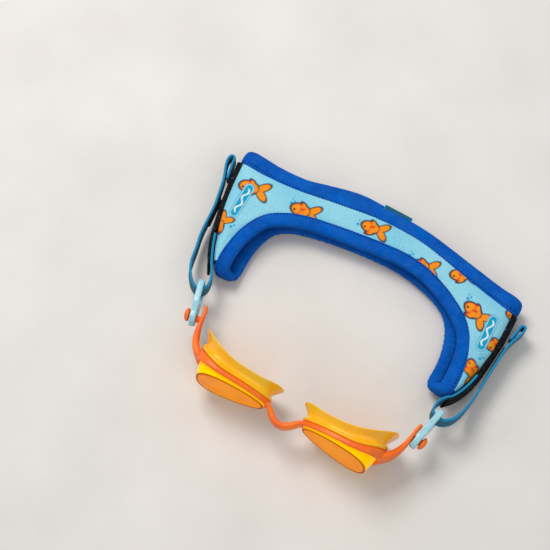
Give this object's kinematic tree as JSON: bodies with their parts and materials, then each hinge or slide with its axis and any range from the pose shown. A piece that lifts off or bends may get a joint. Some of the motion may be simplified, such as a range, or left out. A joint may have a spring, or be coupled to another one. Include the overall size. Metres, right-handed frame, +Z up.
{
  "type": "swim goggles",
  "caption": "Child's swim goggles with a one-piece soft frame, cup lenses, face seals, swivelling strap clips and a padded neoprene head strap with fastening tails.",
  "frame": {"origin": "bottom centre of the whole object's bounding box", "axes": "+X to the wearer's left across the goggles, lens fronts face -Y with the strap laid out towards +Y, +Z up from the surface they lie on"},
  "size_m": [0.2116, 0.1582, 0.0443],
  "materials": {
    "orange_rubber": "satin",
    "amber_lens": "gloss",
    "yellow_rubber": "gloss",
    "pale_blue_plastic": "gloss",
    "teal_webbing": "woven",
    "black_fastening": "matte",
    "printed_neoprene": "matte",
    "royal_binding": "matte"
  },
  "bodies": {
    "goggles": {"frame": "orange_rubber", "lens_left": "amber_lens", "lens_right": "amber_lens", "gasket_left": "yellow_rubber", "gasket_right": "yellow_rubber"},
    "clip_left": {"clip_left": "pale_blue_plastic"},
    "clip_right": {"clip_right": "pale_blue_plastic"},
    "strap": {"webbing_left": "teal_webbing", "webbing_right": "teal_webbing", "loop_tape_left": "black_fastening", "loop_tape_right": "black_fastening", "upper_panel": "printed_neoprene", "lower_panel": "printed_neoprene", "near_binding": "royal_binding", "far_binding": "royal_binding", "centre_tab": "teal_webbing"},
    "tail_left": {"tail_left": "teal_webbing", "hook_patch_left": "black_fastening"},
    "tail_right": {"tail_right": "teal_webbing", "hook_patch_right": "black_fastening"}
  },
  "joints": [
    {"name": "clip_left_swivel", "type": "hinge", "parent": "goggles", "child": "clip_left", "pos_m": [-0.07086, -0.0454, 0.02263], "axis": [1, 0, 0], "range_deg": [-30, 30]},
    {"name": "clip_right_swivel", "type": "hinge", "parent": "goggles", "child": "clip_right", "pos_m": [0.08054, -0.0454, 0.02263], "axis": [1, 0, 0], "range_deg": [-30, 30]},
    {"name": "strap_slack", "type": "slide", "parent": "clip_left", "child": "strap", "axis": [0, -0.9848, 0.1736], "range_m": [0, 0.004]},
    {"name": "tail_left_peel", "type": "hinge", "parent": "strap", "child": "tail_left", "pos_m": [-0.08056, -0.0287, 0.01923], "axis": [0, 0, 1], "range_deg": [0, 45]},
    {"name": "tail_right_peel", "type": "hinge", "parent": "strap", "child": "tail_right", "pos_m": [0.08814, -0.0281, 0.01923], "axis": [0, 0, -1], "range_deg": [0, 45]}
  ],
  "couplings": [
    {"joint": "clip_right_swivel", "follows": "clip_left_swivel", "ratio": 1}
  ]
}
